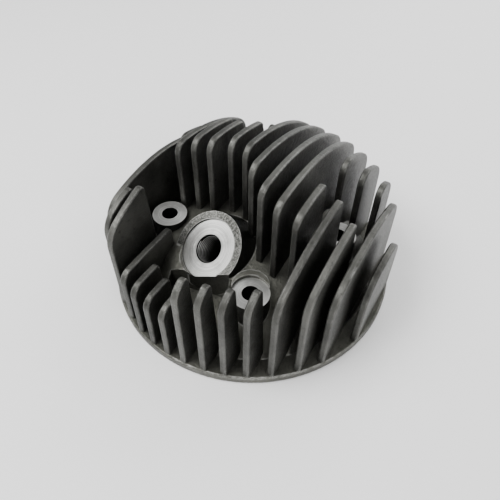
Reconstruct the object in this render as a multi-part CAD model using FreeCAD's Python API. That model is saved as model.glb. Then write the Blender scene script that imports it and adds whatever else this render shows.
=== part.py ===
import FreeCAD, Part
import math
import os

from FreeCAD import Vector

# Cylinder head of an air-cooled two-stroke engine: one aluminium casting, split
# into its named features, so that each is a separate solid that meets its
# neighbours face to face. Millimetres, +Z up. The origin is on the cylinder axis
# at the gasket plane, and the cooling fins run along Y.

# Flange and domed core
FLANGE_RADIUS = 70.0
FLANGE_THICKNESS = 4.5
FLANGE_EDGE_ROUND = 0.8
HUB_RADIUS = 36.0            # the core runs down to the gasket plane inside this
CORE_CROWN = 31.0            # height of the core's spherical top
CORE_SHOULDER = (42.0, 23.0)  # radius and height where the top meets the sloping side
CORE_FOOT_RADIUS = 61.0
CORE_BLEND = 15.0

# Underside
REGISTER_RADIUS = 33.0       # recess that locates the top of the cylinder
REGISTER_DEPTH = 1.5
BORE_RADIUS = 28.5
SQUISH_RISE = 1.5
BOWL_RADIUS = 21.0
BOWL_HEIGHT = 17.0           # crown of the bowl above the gasket plane

# Studs
STUD_SPACING_ACROSS = 64.0
STUD_SPACING_ALONG = 54.0
STUD_TURN = -19.9            # degrees about Z, from the fins' frame
STUD_HOLE_RADIUS = 4.0
STUD_BOSS_RADIUS = 8.6
STUD_SEAT_HEIGHT = 28.6
SEAT_LAND = (19.2, -33.4, 8.4, 30.4)  # X, Y, radius and height, behind the front right seat
STUD_NAMES = ["front_left", "front_right", "rear_right", "rear_left"]

# Spark plug, M14 x 1.25
PLUG_AZIMUTH = 250.1         # degrees, the way the plug leans
PLUG_TILT = 37.0             # degrees from vertical
PLUG_OUT = 26.2              # seat centre's distance from the cylinder axis
PLUG_SEAT_HEIGHT = 29.2
PLUG_HOLE_RADIUS = 7.0
PLUG_SEAT_RADIUS = 14.4
PLUG_SEAT_STEP = 1.0
PLUG_BOSS_RADIUS = 18.2
PLUG_BOSS_FOOT_RADIUS = 23.0
PLUG_BOSS_DEPTH = 34.0
PLUG_FRONT_TURN = 12.0       # degrees, the run of the boss's upright front
PLUG_FRONT_DISTANCE = 33.6
PLUG_POCKET_START = -29.0    # the low ground before the boss's front begins here, along that front
PLUG_POCKET_WIDTH = 32.5
PLUG_POCKET_FLOOR = 10.0

# Where the fins are left out, in plan
WELL_FRONT = [               # front edge of the well round the plug and two studs
    (-52, -20), (-47, -27), (-38, -28), (-29, -25.5), (-25, -42), (-20, -47), (-12, -50),
    (-3, -54), (6, -57), (15, -55), (24, -52), (33, -47), (37, -40),
]
WELL_REAR = [
    (-52, 9), (-43, 7), (-39.5, -5.5), (-29, -4), (-20, -4), (-12, 0), (-3, -2), (6, -12), (15, -20),
    (24, -23), (37, -23),
]
ROUND_WELLS = [              # X, Y and radius of the two separate stud wells
    (39.3, 14.6, 11.5), (-20.9, 39.5, 12.5),
]
SIDE_NOTCH = ((46, 56), (-2, 27))  # X and Y where the well at the right is open to the side

# Fins
FIN_THICKNESS = 3.2
FIN_GROUPS = (               # first X, pitch and count
    (-55.7, 8.72, 8), (14.8, 8.9, 5), (57.5, 8.1, 2),
)
FIN_OUTER_RADIUS = 69.4
FIN_CORNER = 13.0            # rounding of the top at the outer end
FIN_INNER_CORNER = 6.0       # and at an end that faces forwards over a well
FIN_FRONT_CORNER = 2.5       # and at one that faces backwards over it
FIN_OUTER_DRAFT = 2.5        # degrees that the outer ends lean inwards
FIN_INNER_DRAFT = 1.5
FIN_EDGE_ROUND = 0.85
SHORTEST_FIN = 5.0
DOME_HEIGHT = 72.6
DOME_CENTRE_Y = -4.0
DOME_FALL = (24.0, 3.0)      # fall at the flange's radius, squared and fourth power terms
LOWERED_FINS = {1: 7.0, 2: 3.5, 3: 1.5, 14: 3.0, 15: 8.0}  # how far these stay below the dome
STUD_TIPS_FROM = 45.0        # Y beyond which the parts behind the rear left stud are lower
STUD_TIPS_FALL = 5.0
LOW_FINS = (4, 5, 6, 7)      # the fins in front of the plug
LOW_FIN_HEIGHT = 34.5
LOW_FIN_CROWN = 0.4
LOW_FIN_CORNER = 6.0

SEAM_TURN = 4.0              # degrees, so that no fin runs through the core's seam
UP = Vector(0, 0, 1)


def polar(angle, distance):
    a = math.radians(angle)
    return Vector(distance * math.cos(a), distance * math.sin(a), 0)


def cylinder(radius, base, axis, length):
    return Part.makeCylinder(radius, length, base, axis)


def revolve(points):
    """Solid of revolution about Z from an outline of (radius, height)."""
    wire = Part.makePolygon([Vector(r, 0, z) for r, z in points + points[:1]])
    return Part.Face(wire).revolve(Vector(0, 0, 0), UP, 360)


# Places worked out from the dimensions above

STUDS = []
for side_x, side_y in ((-1, -1), (1, -1), (1, 1), (-1, 1)):
    corner = Vector(side_x * STUD_SPACING_ACROSS / 2, side_y * STUD_SPACING_ALONG / 2, 0)
    STUDS.append(FreeCAD.Rotation(UP, STUD_TURN).multVec(corner))

PLUG_SEAT = polar(PLUG_AZIMUTH, PLUG_OUT) + UP * PLUG_SEAT_HEIGHT
PLUG_AXIS = (
    polar(PLUG_AZIMUTH, math.sin(math.radians(PLUG_TILT))) + UP * math.cos(math.radians(PLUG_TILT))
)

FIN_PLACES = [first + pitch * i for first, pitch, count in FIN_GROUPS for i in range(count)]


def along_plug(radius, start, end):
    """Cylinder on the plug's axis, between two distances above its seat."""
    return cylinder(radius, PLUG_SEAT + PLUG_AXIS * start, PLUG_AXIS, end - start)


def chamber():
    """The open space under the casting: register, squish band and bowl."""
    brim = REGISTER_DEPTH + SQUISH_RISE
    rise = BOWL_HEIGHT - brim
    ball_radius = (BOWL_RADIUS ** 2 + rise ** 2) / (2 * rise)
    below = revolve([
        (0, -1), (REGISTER_RADIUS, -1), (REGISTER_RADIUS, REGISTER_DEPTH),
        (BORE_RADIUS, REGISTER_DEPTH), (BOWL_RADIUS, brim), (0, brim),
    ])
    ball = Part.makeSphere(ball_radius, UP * (BOWL_HEIGHT - ball_radius))
    over_brim = cylinder(2 * BOWL_RADIUS, UP * brim, UP, BOWL_HEIGHT)
    return below.fuse(ball.common(over_brim))


def core_blank():
    """The core before its holes: a spherical top, a conical side and a hub below.

    Its front is cut down before the plug boss, and a land backs the front right stud's seat.
    """
    shoulder, height = CORE_SHOULDER
    drop = CORE_CROWN - height
    radius = (shoulder ** 2 + drop ** 2) / (2 * drop)
    half_angle = math.asin(shoulder / radius) / 2
    crown = Vector(0, 0, CORE_CROWN)
    between = Vector(radius * math.sin(half_angle), 0, CORE_CROWN - radius * (1 - math.cos(half_angle)))
    top = Part.Arc(crown, between, Vector(shoulder, 0, height)).toShape()
    rest = Part.makePolygon([
        Vector(shoulder, 0, height), Vector(CORE_FOOT_RADIUS, 0, FLANGE_THICKNESS),
        Vector(HUB_RADIUS, 0, FLANGE_THICKNESS), Vector(HUB_RADIUS, 0, 0), Vector(0, 0, 0), crown,
    ])
    core = Part.Face(Part.Wire([top] + rest.Edges)).revolve(Vector(0, 0, 0), UP, 360)
    kink = []
    for edge in core.Edges:
        box = edge.BoundBox
        if box.ZLength < 0.01 and abs(box.ZMin - height) < 0.01:
            kink.append(edge)
    core = core.makeFillet(CORE_BLEND, kink)
    core.rotate(Vector(0, 0, 0), UP, SEAM_TURN)
    pocket = Part.makeBox(
        PLUG_POCKET_WIDTH, FLANGE_RADIUS, 60,
        Vector(PLUG_POCKET_START, -PLUG_FRONT_DISTANCE - FLANGE_RADIUS, PLUG_POCKET_FLOOR),
    )
    pocket.rotate(Vector(0, 0, 0), UP, PLUG_FRONT_TURN)
    x, y, radius, height = SEAT_LAND
    land = cylinder(radius, Vector(x, y, FLANGE_THICKNESS), UP, height - FLANGE_THICKNESS)
    return core.cut(pocket).fuse(land)


def plug_boss_blank():
    """The leaning boss before its hole, with its front cut off upright."""
    foot = PLUG_SEAT - PLUG_AXIS * PLUG_BOSS_DEPTH
    length = PLUG_BOSS_DEPTH + PLUG_SEAT_STEP
    blank = Part.makeCone(PLUG_BOSS_FOOT_RADIUS, PLUG_BOSS_RADIUS, length, foot, PLUG_AXIS)
    front = Part.makeBox(100, 50, 150, Vector(-50, -50 - PLUG_FRONT_DISTANCE, -75))
    front.rotate(Vector(0, 0, 0), UP, PLUG_FRONT_TURN)
    inside = cylinder(HUB_RADIUS + 3, Vector(0, 0, 0), UP, 60)
    return blank.cut(front).common(inside)


def seat_clearances():
    """What the seat cutters take away above the stud seats and the plug's seat."""
    tools = [cylinder(STUD_BOSS_RADIUS, s + UP * STUD_SEAT_HEIGHT, UP, 80) for s in STUDS]
    tools.append(along_plug(PLUG_SEAT_RADIUS, 0, 60))
    return tools


def along(points, x):
    """Y at x on a line of straight stretches, or None beyond its ends."""
    for (x0, y0), (x1, y1) in zip(points, points[1:]):
        if x0 <= x <= x1:
            return y0 + (y1 - y0) * (x - x0) / (x1 - x0)
    return None


def fin_runs(x):
    """Stretches of Y that the fin at x fills, its chord less every well it meets."""
    half = math.sqrt(FIN_OUTER_RADIUS ** 2 - (abs(x) + FIN_THICKNESS / 4) ** 2)
    gaps = []
    front, rear = along(WELL_FRONT, x), along(WELL_REAR, x)
    if front is not None and rear is not None:
        gaps.append((front, rear))
    for cx, cy, radius in ROUND_WELLS:
        if abs(x - cx) < radius:
            reach = math.sqrt(radius ** 2 - (x - cx) ** 2)
            gaps.append((cy - reach, cy + reach))
    (low_x, high_x), notch = SIDE_NOTCH
    if low_x < x < high_x:
        gaps.append(notch)
    runs = []
    start = -half
    for low, high in sorted(gaps) + [(half, half)]:
        if low - start > SHORTEST_FIN:
            runs.append((start, low))
        start = max(start, high)
    return runs, half


def fin_height(number, x, y, start, end):
    """Height of the fin's top before its corners are rounded."""
    if number in LOW_FINS and end < 0:
        share = (2 * y - start - end) / (end - start)
        return LOW_FIN_HEIGHT + LOW_FIN_CROWN * (1 - share ** 2)
    share = (x ** 2 + (y - DOME_CENTRE_Y) ** 2) / FLANGE_RADIUS ** 2
    fall = DOME_FALL[0] * share + DOME_FALL[1] * share ** 2
    if start > STUD_TIPS_FROM:
        fall += STUD_TIPS_FALL
    return DOME_HEIGHT - fall - LOWERED_FINS.get(number, 0)


def fin_corner(circle, foot, inward, draft, corner):
    """Where a rounded corner joins the leaning end that stands on foot to the top's circle.

    Returns the corner's arc, its lower end and its upper end.
    """
    lean = math.radians(draft)
    up = Vector(0, inward * math.sin(lean), math.cos(lean))
    into = Vector(0, inward * math.cos(lean), -math.sin(lean))
    from_centre = foot + into * corner - circle.Center
    along_up = from_centre.dot(up)
    beside = from_centre.dot(from_centre) - (circle.Radius - corner) ** 2
    middle = circle.Center + from_centre + up * (math.sqrt(along_up ** 2 - beside) - along_up)
    out = (middle - circle.Center).normalize()
    halfway = (out - into).normalize()
    tip = middle - into * corner
    tangent = middle + out * corner
    return Part.Arc(tip, middle + halfway * corner, tangent).toShape(), tip, tangent


def fin_top(number, x, start, end, half):
    """The edges of the fin's top: one wide arc, and an arc that rounds it at each end."""
    ys = (start, (start + end) / 2, end)
    circle = Part.Circle(*[Vector(x, y, fin_height(number, x, y, start, end)) for y in ys])
    outer_ends = (abs(start + half) < 0.01) + (abs(end - half) < 0.01)
    limit = (end - start) * (0.45 if outer_ends == 2 else 0.65)
    edges = []
    tips = []
    tangents = []
    for y, inward in ((start, 1), (end, -1)):
        corner = min(FIN_INNER_CORNER, 0.25 * (end - start)) if y == start else FIN_FRONT_CORNER
        draft = FIN_INNER_DRAFT
        if abs(abs(y) - half) < 0.01:
            low = number in LOW_FINS and end < 0
            corner = min(limit, LOW_FIN_CORNER if low else FIN_CORNER)
            draft = FIN_OUTER_DRAFT
        foot = Vector(x, y, FLANGE_THICKNESS)
        edge, tip, tangent = fin_corner(circle, foot, inward, draft, corner)
        edges.append(edge)
        tips.append(tip)
        tangents.append(tangent)
    between = (tangents[0] + tangents[1]) / 2 - circle.Center
    crest = circle.Center + between.normalize() * circle.Radius
    edges.append(Part.Arc(tangents[0], crest, tangents[1]).toShape())
    return edges, tips


def fin_blank(number, x, start, end, half):
    """One stretch of a fin, with rounded edges, standing on the flange."""
    top, tips = fin_top(number, x, start, end, half)
    rest = Part.makePolygon([
        tips[1], Vector(x, end, FLANGE_THICKNESS), Vector(x, start, FLANGE_THICKNESS), tips[0],
    ])
    outline = Part.Wire(Part.__sortEdges__(top + rest.Edges))
    face = Part.Face(outline)
    face.translate(Vector(-FIN_THICKNESS / 2, 0, 0))
    blank = face.extrude(Vector(FIN_THICKNESS, 0, 0))
    sides = []
    for edge in blank.Edges:
        box = edge.BoundBox
        if box.XLength < 0.01 and box.ZMax > FLANGE_THICKNESS + 0.01:
            sides.append(edge)
    return blank.makeFillet(FIN_EDGE_ROUND, sides)


def cut_all(shape, tools):
    for tool in tools:
        shape = shape.cut(tool)
    return shape


def largest(shape):
    return max(shape.Solids, key=lambda solid: solid.Volume)


def save(name, shape):
    if not shape.isValid():
        print("invalid:", name)
    print(name, len(shape.Solids), round(shape.Volume))
    shape.exportStep("parts/" + name + ".step")


def build():
    os.makedirs("parts", exist_ok=True)
    stud_holes = [cylinder(STUD_HOLE_RADIUS, s - UP, UP, 90) for s in STUDS]
    stud_blanks = [cylinder(STUD_BOSS_RADIUS, s, UP, STUD_SEAT_HEIGHT) for s in STUDS]
    below = chamber()
    boss_blank = cut_all(plug_boss_blank(), stud_blanks)

    flange = cylinder(FLANGE_RADIUS, Vector(0, 0, 0), UP, FLANGE_THICKNESS)
    rim = [e for e in flange.Edges if e.BoundBox.ZLength < 0.01]
    flange = flange.makeFillet(FLANGE_EDGE_ROUND, rim)
    flange = flange.cut(cylinder(HUB_RADIUS, Vector(0, 0, -1), UP, 20))
    save("base_flange", cut_all(flange, stud_blanks))

    core = cut_all(core_blank(), stud_blanks + [boss_blank, below] + seat_clearances())
    save("chamber_dome", largest(core))

    thread = along_plug(PLUG_HOLE_RADIUS, -PLUG_BOSS_DEPTH - 5, 5)
    boss = cut_all(boss_blank, [thread, along_plug(PLUG_SEAT_RADIUS, 0, 10), below])
    save("plug_boss", largest(boss))

    for name, blank, hole in zip(STUD_NAMES, stud_blanks, stud_holes):
        save("stud_boss_" + name, blank.cut(hole))

    under_fins = stud_blanks + [core_blank(), boss_blank] + seat_clearances()
    for number, x in enumerate(FIN_PLACES, start=1):
        runs, half = fin_runs(x)
        letters = [""] if len(runs) == 1 else ["_front", "_mid", "_rear"]
        if len(runs) == 2:
            letters = ["_front", "_rear"]
        for letter, (start, end) in zip(letters, runs):
            fin = cut_all(fin_blank(number, x, start, end, half), under_fins)
            save("fin_%02d%s" % (number, letter), largest(fin))


build()
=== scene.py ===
import math

import bpy
import bmesh
from mathutils import Matrix, Vector


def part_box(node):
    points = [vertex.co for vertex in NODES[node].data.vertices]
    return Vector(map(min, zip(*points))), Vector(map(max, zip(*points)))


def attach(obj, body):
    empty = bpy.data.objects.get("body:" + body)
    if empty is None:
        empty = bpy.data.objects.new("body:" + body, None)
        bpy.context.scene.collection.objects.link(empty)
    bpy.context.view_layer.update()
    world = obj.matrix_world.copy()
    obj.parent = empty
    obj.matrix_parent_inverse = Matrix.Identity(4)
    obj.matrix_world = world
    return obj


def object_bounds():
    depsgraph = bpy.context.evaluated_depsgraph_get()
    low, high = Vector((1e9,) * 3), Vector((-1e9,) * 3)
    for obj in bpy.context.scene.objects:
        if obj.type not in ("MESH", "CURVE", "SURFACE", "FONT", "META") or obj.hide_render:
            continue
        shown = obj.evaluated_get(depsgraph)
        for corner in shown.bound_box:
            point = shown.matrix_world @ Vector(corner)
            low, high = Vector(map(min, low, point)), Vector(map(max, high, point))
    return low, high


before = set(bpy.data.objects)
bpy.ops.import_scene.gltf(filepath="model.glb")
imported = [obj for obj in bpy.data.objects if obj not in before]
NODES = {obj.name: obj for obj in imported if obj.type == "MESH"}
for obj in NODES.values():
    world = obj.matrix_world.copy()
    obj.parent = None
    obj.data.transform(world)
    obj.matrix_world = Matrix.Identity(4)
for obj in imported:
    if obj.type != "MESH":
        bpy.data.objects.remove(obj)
CAD_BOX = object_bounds()

# An air-cooled cylinder head: the looks of its sand-cast and turned surfaces, the
# spark plug's thread, and a plain studio. Metres, in the CAD's frame.

# The spark plug's seat and hole, as in the CAD

PLUG_AZIMUTH = math.radians(250.1)
PLUG_TILT = math.radians(37.0)
PLUG_OUT = 0.0262
PLUG_SEAT_HEIGHT = 0.0292
PLUG_HOLE_RADIUS = 0.0070
PLUG_FACE_REACH = 0.01435     # radius of the plug's machined seat

PLUG_AXIS = Vector((
    math.cos(PLUG_AZIMUTH) * math.sin(PLUG_TILT),
    math.sin(PLUG_AZIMUTH) * math.sin(PLUG_TILT),
    math.cos(PLUG_TILT),
))
PLUG_SEAT = Vector((
    PLUG_OUT * math.cos(PLUG_AZIMUTH),
    PLUG_OUT * math.sin(PLUG_AZIMUTH),
    PLUG_SEAT_HEIGHT,
))

# The thread in that hole

THREAD_PITCH = 0.00125
THREAD_DEPTH = 0.00068
THREAD_LENGTH = 0.0205
THREAD_START = 0.0006         # depth of its first turn below the seat
THREAD_SINK = 0.00012         # how far the ridge's foot is sunk into the wall
THREAD_STEPS = 48             # sections in one turn
SHADE_DEPTH = 0.013            # depth below the seat at which the thread is painted fully into shade

# Colours

DARK_CAST = (0.030, 0.030, 0.027, 1)
LIGHT_CAST = (0.105, 0.105, 0.096, 1)
DARK_GROUND = (0.045, 0.045, 0.038, 1)   # the flange and the core, warmer and lighter
LIGHT_GROUND = (0.15, 0.15, 0.13, 1)
# rubbed edges, lightened further as a painted highlight
WORN_AND_HIGHLIT_CAST = (0.56, 0.56, 0.54, 1)
PIT = (0.010, 0.010, 0.009, 1)
SHADE = (0.006, 0.006, 0.005, 1)         # painted shade, in deep hollows and down the plug's hole
GRIT = (0.30, 0.30, 0.28, 1)             # flecks on the rim round a machined face
DARK_TURNED = (0.26, 0.26, 0.25, 1)
LIGHT_TURNED = (0.68, 0.68, 0.66, 1)
LIGHT_THREAD = (0.80, 0.80, 0.78, 1)
# painted shade on the walls of the drilled holes
BORE_SHADE = (0.030, 0.030, 0.028, 1)
# painted shade in the roots of the thread
THREAD_ROOT_SHADE = (0.002, 0.002, 0.002, 1)

# Surfaces

FIN_WEAR_AND_HIGHLIGHT = 0.80               # how bright edges are rubbed and painted with a highlight, from 0 to 1
GROUND_WEAR_AND_HIGHLIGHT = 0.55
BOSS_WEAR_AND_HIGHLIGHT = 0.5
WEAR_AND_HIGHLIGHT_RADIUS = 0.0011          # width of a rubbed edge and of its painted highlight
CREASE_REACH = 0.0015         # an inner corner this close isn't rubbed
HOLLOW_REACH = 0.012          # walls this close paint shade on the metal between them
SAMPLES = 6                   # samples for each of those three
CAST_RELIEF = 0.00040
THREAD_RELIEF = 0.00008
CAST_METALLIC = 0.80
BOSS_METALLIC = 0.88
THREAD_METALLIC = 0.95
ANISOTROPY = 0.65             # of turned surfaces
HOLE_REACH = 0.0074           # radius inside which an upright wall is a drilled one
STUD_FACE_REACH = 0.02        # beyond a stud boss's edge, so its whole face is machined
FLAT = 0.9                    # least cosine between a machined face's normal and its axis
UPRIGHT = 0.2                 # largest such cosine for a hole's wall
RIM_FLAT = 0.7                # least such cosine where the rim is gritty

# Camera and light

CAMERA_PLACE = (0.0854, -0.1416, 0.1985)
CAMERA_FORWARD = (-0.3435, 0.5609, -0.7533)
CAMERA_ROLL = -0.012
CAMERA_LENS = 34.77
LIGHT_AIM = (0, 0, 0.03)
SOFTBOXES = (                 # name, place, width, height and power
    ("key", (-0.35, -0.30, 0.75), 0.45, 0.45, 8.0),
    ("fill", (0.70, -0.45, 0.45), 0.5, 0.5, 3.0),
    ("back", (0.15, 0.75, 0.50), 0.8, 0.4, 5.0),
)
SKY_STRENGTH = 0.85


# Node material helpers

class Graph:
    """A material's node tree, with short calls that add a node and wire its inputs."""

    def __init__(self, name):
        self.material = bpy.data.materials.new(name)
        self.material.use_nodes = True
        self.tree = self.material.node_tree
        self.tree.nodes.clear()

    def feed(self, socket, value):
        """Links a socket to another node's output, or sets it to a plain value."""
        if isinstance(value, bpy.types.NodeSocket):
            self.tree.links.new(value, socket)
        else:
            socket.default_value = value

    def put(self, kind, **inputs):
        """Adds a node, with its inputs given by name."""
        node = self.tree.nodes.new(kind)
        for key, value in inputs.items():
            self.feed(node.inputs[key.replace("_", " ")], value)
        return node

    def object_place(self):
        return self.put("ShaderNodeTexCoord").outputs["Object"]

    def noise(self, vector, scale, detail=4.0, roughness=0.55, distortion=0.0):
        node = self.put("ShaderNodeTexNoise", Vector=vector, Scale=scale, Detail=detail,
                        Roughness=roughness, Distortion=distortion)
        return node.outputs["Fac"]

    def math(self, operation, a, b=0.0):
        node = self.put("ShaderNodeMath")
        node.operation = operation
        for socket, value in zip(node.inputs, (a, b)):
            self.feed(socket, value)
        return node.outputs[0]

    def vector_math(self, operation, a, b, output="Vector"):
        node = self.put("ShaderNodeVectorMath")
        node.operation = operation
        for socket, value in zip(node.inputs, (a, b)):
            self.feed(socket, value)
        return node.outputs[output]

    def ramp(self, factor, low, high, out_low=0.0, out_high=1.0):
        """Goes smoothly from out_low to out_high as the factor goes from low to high."""
        node = self.put("ShaderNodeMapRange", Value=factor)
        node.inputs["From Min"].default_value = low
        node.inputs["From Max"].default_value = high
        node.inputs["To Min"].default_value = out_low
        node.inputs["To Max"].default_value = out_high
        node.interpolation_type = "SMOOTHSTEP"
        return node.outputs["Result"]

    def mix(self, factor, a, b):
        """Colour a where the factor is 0, and b where it is 1."""
        node = self.put("ShaderNodeMix")
        node.data_type = "RGBA"
        for socket, value in zip((node.inputs[0], node.inputs[6], node.inputs[7]), (factor, a, b)):
            self.feed(socket, value)
        return node.outputs[2]

    def choose(self, share, inside, outside):
        """Number inside where the share is 1, and outside where it is 0."""
        rest = self.math("SUBTRACT", 1.0, share)
        return self.math("ADD", self.math("MULTIPLY", share, inside), self.math("MULTIPLY", rest, outside))

    def occlusion(self, reach):
        node = self.put("ShaderNodeAmbientOcclusion", Distance=reach)
        node.samples = SAMPLES
        return node.outputs["AO"]

    def true_normal(self):
        return self.put("ShaderNodeNewGeometry").outputs["True Normal"]

    def finish(self, colour, metallic, roughness, height, distance, tangent=None):
        """Adds the shader and returns the material."""
        bump = self.put("ShaderNodeBump", Height=height, Strength=1.0, Distance=distance)
        shader = self.put("ShaderNodeBsdfPrincipled", Base_Color=colour, Metallic=metallic,
                          Roughness=roughness, Normal=bump.outputs["Normal"])
        if tangent is not None:
            shader.inputs["Anisotropic"].default_value = ANISOTROPY
            self.feed(shader.inputs["Tangent"], tangent)
        self.put("ShaderNodeOutputMaterial", Surface=shader.outputs["BSDF"])
        return self.material


# Surface looks

def cast_look(g, place, dark, light, wear_and_highlight):
    """Sand-cast aluminium, with painted shade in its hollows, and its edges rubbed bright with a painted
    highlight along them.

    Returns its colour, roughness and relief.
    """
    patches = g.noise(place, 34.0, detail=5.0)
    clouds = g.noise(place, 120.0, detail=4.0, distortion=0.6)
    grain = g.noise(place, 950.0, detail=6.0, roughness=0.65)
    pits = g.noise(place, 420.0, detail=3.0, roughness=0.6)

    bevel = g.put("ShaderNodeBevel", Radius=WEAR_AND_HIGHLIGHT_RADIUS)
    bevel.samples = SAMPLES
    flatness = g.vector_math("DOT_PRODUCT", bevel.outputs["Normal"], g.true_normal(), "Value")
    edge = g.ramp(flatness, 0.995, 0.90)
    # real wear and painted highlight: edges rubbed bright in patches, but not in inner corners
    rub_and_highlight = g.math("MULTIPLY", edge, g.ramp(g.noise(place, 260.0, detail=5.0), 0.32, 0.60))
    rub_and_highlight = g.math("MULTIPLY", rub_and_highlight, g.ramp(g.occlusion(CREASE_REACH), 0.72, 0.95, 0.0, wear_and_highlight))
    open_air = g.ramp(g.occlusion(HOLLOW_REACH), 0.15, 0.85, 0.55, 1.0)

    tone = g.mix(g.ramp(patches, 0.32, 0.70), dark, light)
    tone = g.mix(g.ramp(clouds, 0.45, 0.70, 0.0, 0.35), tone, dark)
    tone = g.mix(g.ramp(grain, 0.35, 0.75, 0.0, 0.30), tone, light)
    tone = g.mix(g.ramp(pits, 0.60, 0.74, 0.0, 0.55), tone, PIT)
    # painted shade: darker where walls close in round the metal
    tone = g.mix(open_air, SHADE, tone)
    tone = g.mix(rub_and_highlight, tone, WORN_AND_HIGHLIT_CAST)

    rough = g.ramp(grain, 0.25, 0.75, 0.34, 0.56)
    relief = g.math("ADD", g.math("MULTIPLY", grain, 0.45), g.math("MULTIPLY", pits, 0.55))
    return tone, rough, relief


def turned_look(g, place, centre, axis, dark, light):
    """Turned aluminium: fine rings about an axis, with scuffs and stains.

    Returns its colour, roughness and relief, the distance from the axis, and the way round it.
    """
    offset = g.vector_math("SUBTRACT", place, centre)
    around = g.vector_math("CROSS_PRODUCT", offset, axis)
    radius = g.vector_math("LENGTH", around, (0, 0, 0), "Value")

    waver = g.math("MULTIPLY", g.noise(place, 160.0, detail=2.0), 0.00025)
    ring_at = g.put("ShaderNodeCombineXYZ", X=g.math("ADD", radius, waver)).outputs["Vector"]
    rings = g.noise(ring_at, 3200.0, detail=3.0, roughness=0.7)
    bands = g.noise(ring_at, 520.0, detail=1.0)
    stains = g.noise(place, 130.0, detail=5.0)
    scuffs = g.noise(place, 700.0, detail=4.0, roughness=0.7)

    tone = g.mix(g.ramp(rings, 0.34, 0.64), dark, light)
    tone = g.mix(g.ramp(bands, 0.42, 0.66, 0.0, 0.45), tone, dark)
    tone = g.mix(g.ramp(stains, 0.50, 0.74, 0.0, 0.60), tone, dark)
    tone = g.mix(g.ramp(scuffs, 0.58, 0.72, 0.0, 0.40), tone, dark)
    rough = g.math("ADD", g.ramp(stains, 0.3, 0.7, 0.24, 0.42), g.math("MULTIPLY", scuffs, 0.08))
    relief = g.math("ADD", g.math("MULTIPLY", rings, 0.7), g.math("MULTIPLY", scuffs, 0.3))
    return tone, rough, relief, radius, around


# Materials

def cast_metal(name, dark, light, wear_and_highlight):
    g = Graph(name)
    tone, rough, relief = cast_look(g, g.object_place(), dark, light, wear_and_highlight)
    return g.finish(tone, CAST_METALLIC, rough, relief, CAST_RELIEF)


def faced_boss(name, centre, axis, reach):
    """A cast boss whose face, out to a radius, and whose hole are machined."""
    g = Graph(name)
    place = g.object_place()
    cast_tone, cast_rough, cast_relief = cast_look(g, place, DARK_CAST, LIGHT_CAST, BOSS_WEAR_AND_HIGHLIGHT)
    tone, rough, relief, radius, around = turned_look(g, place, centre, axis, DARK_TURNED, LIGHT_TURNED)

    facing = g.vector_math("DOT_PRODUCT", g.true_normal(), axis, "Value")
    faced = g.math("MULTIPLY", g.math("GREATER_THAN", facing, FLAT), g.math("LESS_THAN", radius, reach))
    upright = g.math("LESS_THAN", g.math("ABSOLUTE", facing), UPRIGHT)
    bored = g.math("MULTIPLY", upright, g.math("LESS_THAN", radius, HOLE_REACH))
    cut = g.math("MAXIMUM", faced, bored)

    grit = g.ramp(g.noise(place, 1500.0, detail=4.0, roughness=0.7), 0.42, 0.66, 0.0, 0.75)
    on_rim = g.math("MULTIPLY", grit, g.math("GREATER_THAN", facing, RIM_FLAT))
    # the bored walls are painted dark as shade inside the hole
    tone = g.mix(cut, g.mix(on_rim, cast_tone, GRIT), g.mix(bored, tone, BORE_SHADE))
    rough = g.choose(cut, rough, cast_rough)
    relief = g.choose(cut, g.math("MULTIPLY", relief, 0.3), cast_relief)
    return g.finish(tone, BOSS_METALLIC, rough, relief, CAST_RELIEF, around)


def thread_metal():
    """Bright crests over roots painted black as shade, and more painted shade further down the hole."""
    g = Graph("plug_thread_metal")
    place = g.object_place()
    tone, rough, relief, radius, around = turned_look(
        g, place, PLUG_SEAT, PLUG_AXIS, DARK_TURNED, LIGHT_THREAD)
    # the thread's roots are painted black as shade
    root = g.ramp(radius, PLUG_HOLE_RADIUS - 0.85 * THREAD_DEPTH, PLUG_HOLE_RADIUS - 0.55 * THREAD_DEPTH)
    tone = g.mix(root, tone, THREAD_ROOT_SHADE)
    height = g.vector_math("DOT_PRODUCT", g.vector_math("SUBTRACT", place, PLUG_SEAT), PLUG_AXIS, "Value")
    # painted shade, growing darker down the hole
    tone = g.mix(g.ramp(height, -0.001, -SHADE_DEPTH, 0.0, 0.92), tone, SHADE)
    return g.finish(tone, THREAD_METALLIC, rough, relief, THREAD_RELIEF, around)


def paint(node, material):
    """Gives a CAD node its material."""
    slots = NODES[node].data.materials
    slots.clear()
    slots.append(material)


def paint_casting():
    fins = cast_metal("fin_cast_aluminium", DARK_CAST, LIGHT_CAST, FIN_WEAR_AND_HIGHLIGHT)
    ground = cast_metal("floor_cast_aluminium", DARK_GROUND, LIGHT_GROUND, GROUND_WEAR_AND_HIGHLIGHT)
    for node in NODES:
        paint(node, fins)
    paint("base_flange", ground)
    paint("chamber_dome", ground)
    for node in NODES:
        if node.startswith("stud_boss"):
            low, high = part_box(node)
            centre = [(a + b) / 2 for a, b in zip(low, high)]
            paint(node, faced_boss(node + "_metal", centre, (0, 0, 1), STUD_FACE_REACH))
    paint("plug_boss", faced_boss("plug_boss_metal", PLUG_SEAT, PLUG_AXIS, PLUG_FACE_REACH))


# The plug hole's thread: a helical ridge that stands out of the bore's wall

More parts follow.
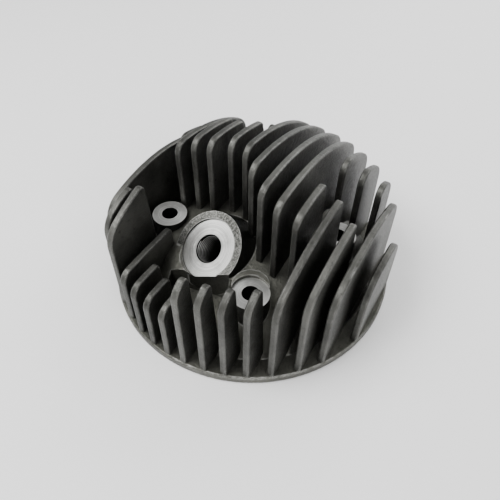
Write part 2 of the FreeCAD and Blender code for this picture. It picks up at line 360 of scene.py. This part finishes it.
def thread_mesh():
    side = PLUG_AXIS.cross(Vector((0, 0, 1))).normalized()
    other = PLUG_AXIS.cross(side)
    profile = (                # distance outside the hole's radius, and pitches along the axis
        (THREAD_SINK, -0.5), (-0.35 * THREAD_DEPTH, -0.24), (-THREAD_DEPTH, -0.07),
        (-THREAD_DEPTH, 0.07), (-0.35 * THREAD_DEPTH, 0.24), (THREAD_SINK, 0.5),
    )
    mesh = bmesh.new()
    rings = []
    for i in range(int(THREAD_LENGTH / THREAD_PITCH * THREAD_STEPS) + 1):
        angle = 2 * math.pi * i / THREAD_STEPS
        depth = -THREAD_START - THREAD_PITCH * i / THREAD_STEPS
        out = side * math.cos(angle) + other * math.sin(angle)
        ring = []
        for outside, shift in profile:
            along_axis = PLUG_AXIS * (depth + shift * THREAD_PITCH)
            ring.append(mesh.verts.new(PLUG_SEAT + along_axis + out * (PLUG_HOLE_RADIUS + outside)))
        rings.append(ring)
    for a, b in zip(rings, rings[1:]):
        for j in range(len(profile)):
            k = (j + 1) % len(profile)
            mesh.faces.new((a[j], a[k], b[k], b[j]))
    mesh.faces.new(rings[0])
    mesh.faces.new(list(reversed(rings[-1])))
    bmesh.ops.recalc_face_normals(mesh, faces=mesh.faces)
    data = bpy.data.meshes.new("plug_thread")
    mesh.to_mesh(data)
    mesh.free()
    return data


def add_thread():
    thread = bpy.data.objects.new("plug_thread", thread_mesh())
    bpy.context.scene.collection.objects.link(thread)
    thread.data.materials.append(thread_metal())
    for polygon in thread.data.polygons:
        polygon.use_smooth = True
    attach(thread, "root")


# Floor, light and camera

def add_floor():
    bpy.ops.mesh.primitive_plane_add(size=6.0, location=(0, 0, CAD_BOX[0][2]))
    plane = bpy.context.object
    plane.name = "floor"
    g = Graph("pale_floor")
    place = g.object_place()
    tone = g.mix(g.noise(place, 3.0), (0.90, 0.90, 0.90, 1), (0.94, 0.94, 0.94, 1))
    plane.data.materials.append(g.finish(tone, 0.0, 0.6, g.noise(place, 60.0), 0.00002))


def add_softbox(name, place, width, height, power):
    data = bpy.data.lights.new(name, "AREA")
    data.shape = "RECTANGLE"
    data.size = width
    data.size_y = height
    data.energy = power
    lamp = bpy.data.objects.new(name, data)
    lamp.location = place
    lamp.rotation_euler = (Vector(LIGHT_AIM) - Vector(place)).to_track_quat("-Z", "Y").to_euler()
    bpy.context.scene.collection.objects.link(lamp)


def add_sky():
    world = bpy.data.worlds.new("studio")
    world.use_nodes = True
    background = world.node_tree.nodes["Background"]
    background.inputs["Color"].default_value = (1, 1, 1, 1)
    background.inputs["Strength"].default_value = SKY_STRENGTH
    bpy.context.scene.world = world


def add_camera():
    data = bpy.data.cameras.new("camera")
    data.lens = CAMERA_LENS
    data.sensor_width = 36.0
    data.clip_start = 0.01
    camera = bpy.data.objects.new("camera", data)
    aim = Vector(CAMERA_FORWARD).to_track_quat("-Z", "Y").to_matrix().to_4x4()
    camera.matrix_world = Matrix.Translation(CAMERA_PLACE) @ aim @ Matrix.Rotation(CAMERA_ROLL, 4, "Z")
    bpy.context.scene.collection.objects.link(camera)
    bpy.context.scene.camera = camera


paint_casting()
add_thread()
add_floor()
for softbox in SOFTBOXES:
    add_softbox(*softbox)
add_sky()
add_camera()
